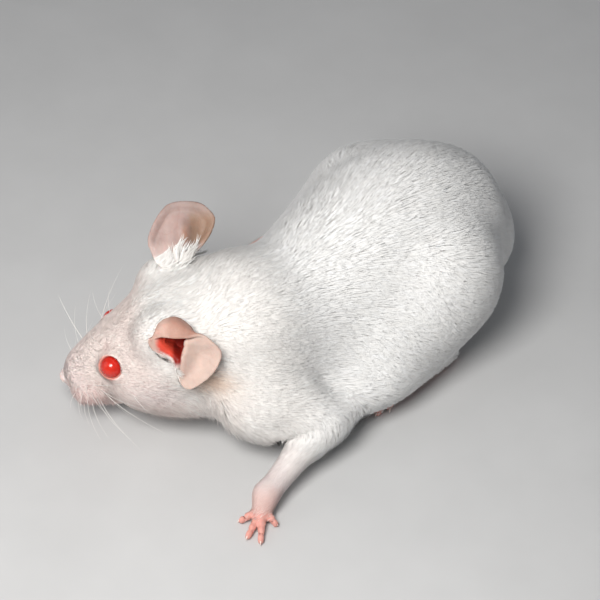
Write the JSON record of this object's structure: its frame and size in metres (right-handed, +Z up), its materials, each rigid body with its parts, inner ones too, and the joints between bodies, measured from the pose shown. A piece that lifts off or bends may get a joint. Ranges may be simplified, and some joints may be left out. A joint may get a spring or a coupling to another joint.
{
  "type": "white mouse model",
  "caption": "Life-size still model of a white pet mouse, crouched with its head turned, one foreleg set forward and out, and its tail curled along its side.",
  "frame": {"origin": "on the floor, under the middle of the bounding box", "axes": "-Y is the way the trunk faces, +X is the animal's left side, +Z is up"},
  "size_m": [0.0566, 0.0786, 0.0343],
  "materials": {
    "coat": "short sleek white fur, lying flat towards the rump",
    "bare_skin": "thin pink skin with fine creases and rings, sparsely haired",
    "ear_skin": "thin translucent pinkish cream skin with fine down",
    "eye_red": "wet, clear and deep red, as in an albino"
  },
  "bodies": {
    "root": {"belly": "coat", "chest": "coat", "ear_left": "ear_skin", "ear_right": "ear_skin", "eye_left": "eye_red", "eye_right": "eye_red", "forearm_left": "coat", "forearm_right": "coat", "forepaw_left": "bare_skin", "forepaw_right": "bare_skin", "head": "coat", "hindfoot_left": "bare_skin", "hindfoot_right": "bare_skin", "neck": "coat", "nose": "bare_skin", "rump": "coat", "tail_1": "bare_skin", "tail_2": "bare_skin", "tail_3": "bare_skin", "tail_4": "bare_skin", "thigh_left": "coat", "thigh_right": "coat", "upper_arm_left": "coat", "upper_arm_right": "coat"}
  },
  "joints": []
}
